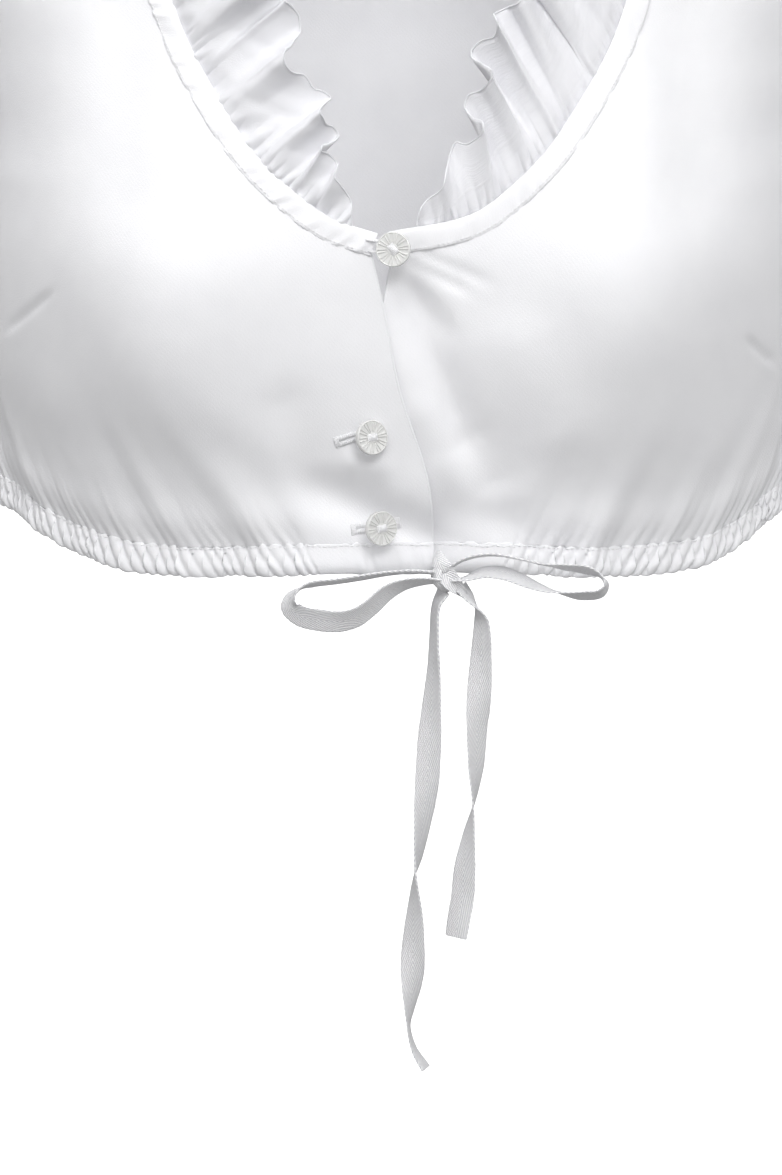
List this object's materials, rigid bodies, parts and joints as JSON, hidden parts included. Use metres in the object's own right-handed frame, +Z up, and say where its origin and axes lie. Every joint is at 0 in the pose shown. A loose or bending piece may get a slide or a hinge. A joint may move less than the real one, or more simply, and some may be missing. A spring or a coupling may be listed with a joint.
{
  "type": "dirndl blouse",
  "caption": "Cropped women's dirndl blouse, hollow as worn: ruffled low neckline, short sleeves, buttoned front, gathered hem drawn in by a twill tape tied in a bow.",
  "frame": {"origin": "between the shoulders, on the centre plane and the plane of the side seams, 310 mm above the front hem", "axes": "-Y out of the front, +X to the wearer's left, +Z up"},
  "size_m": [0.5458, 0.2256, 0.5193],
  "materials": {
    "cloth": "white woven cotton satin, soft sheen",
    "trim": "white bias binding and sewing thread, matt",
    "twill_tape": "white herringbone twill tape, matt",
    "button": "pearl white button plastic with radial grooves"
  },
  "bodies": {
    "root": {"front_right": "cloth", "front_left": "cloth", "back": "cloth", "sleeve_right": "cloth", "sleeve_left": "cloth", "neck_ruffle": "cloth", "casing_right": "cloth", "casing_left": "cloth", "casing_back": "cloth", "neck_binding": "trim", "button_loop": "trim", "tape_loop_right": "twill_tape", "tape_loop_left": "twill_tape", "tape_tail_right": "twill_tape", "tape_tail_left": "twill_tape", "tape_lead": "twill_tape", "tape_knot": "twill_tape", "button_top": "button", "button_middle": "button", "button_bottom": "button"}
  },
  "joints": []
}
